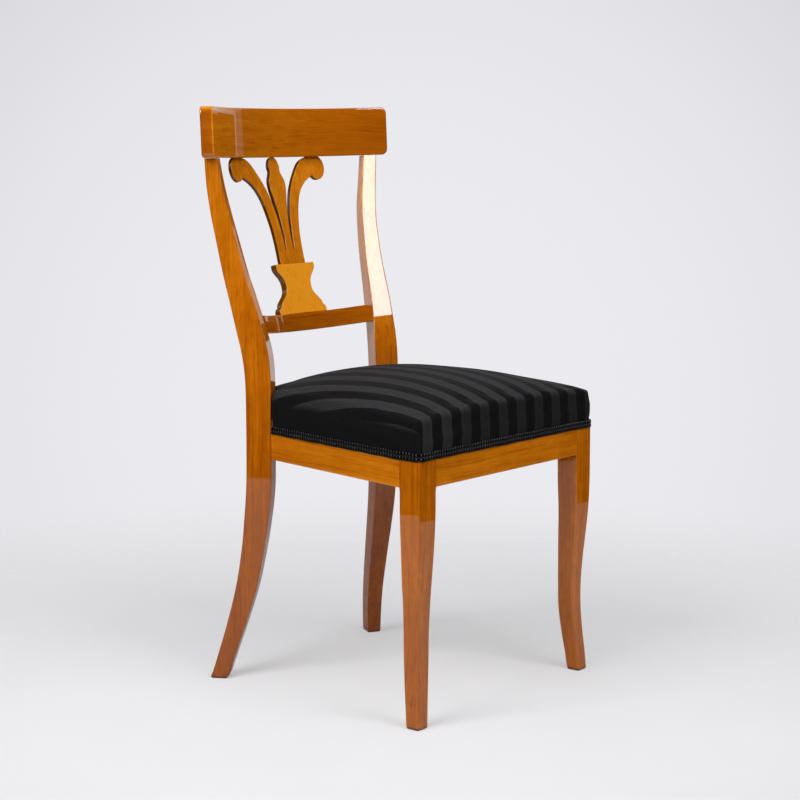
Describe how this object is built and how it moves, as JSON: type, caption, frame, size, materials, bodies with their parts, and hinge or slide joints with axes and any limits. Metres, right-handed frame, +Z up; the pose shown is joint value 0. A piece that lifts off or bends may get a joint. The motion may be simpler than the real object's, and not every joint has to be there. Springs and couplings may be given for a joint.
{
  "type": "lyre back chair",
  "caption": "Wooden dining side chair with sabre legs, a curved crest rail, a vase and plume splat and a stuffed seat in striped fabric.",
  "frame": {"origin": "on the floor, under the middle of the chair's bounding box", "axes": "+Z up, the chair faces -Y, and its sides mirror each other across X = 0"},
  "size_m": [0.4438, 0.5002, 0.9002],
  "materials": {
    "lacquered_cherry": "high gloss lacquer over cherry, amber",
    "plain_beech": "raw planed beech",
    "screw_steel": "plain steel wood screws",
    "jute": "jute webbing and hessian",
    "horsehair": "curled hair stuffing",
    "striped_fabric": "black cloth with alternate satin and matt stripes from front to back",
    "braid": "black looped braid"
  },
  "bodies": {
    "root": {"rear_leg_right": "lacquered_cherry", "rear_leg_left": "lacquered_cherry", "front_leg_right": "lacquered_cherry", "front_leg_left": "lacquered_cherry", "side_rail_right": "lacquered_cherry", "side_rail_left": "lacquered_cherry", "front_rail": "lacquered_cherry", "rear_seat_rail": "lacquered_cherry", "crest_rail": "lacquered_cherry", "back_cross_rail": "lacquered_cherry", "splat_vase": "lacquered_cherry", "splat_plumes": "lacquered_cherry", "corner_block_front_right": "plain_beech", "corner_block_front_left": "plain_beech", "block_screw_front_1_right": "screw_steel", "block_screw_front_1_left": "screw_steel", "block_screw_front_2_right": "screw_steel", "block_screw_front_2_left": "screw_steel", "corner_block_rear_right": "plain_beech", "corner_block_rear_left": "plain_beech", "block_screw_rear_1_right": "screw_steel", "block_screw_rear_1_left": "screw_steel", "block_screw_rear_2_right": "screw_steel", "block_screw_rear_2_left": "screw_steel", "webbing_lengthwise_1": "jute", "webbing_across_1": "jute", "webbing_lengthwise_2": "jute", "webbing_across_2": "jute", "webbing_lengthwise_3": "jute", "webbing_across_3": "jute", "hessian_sheet": "jute", "seat_padding": "horsehair", "seat_cover": "striped_fabric", "braid_front_and_sides": "braid", "braid_rear": "braid"}
  },
  "joints": []
}
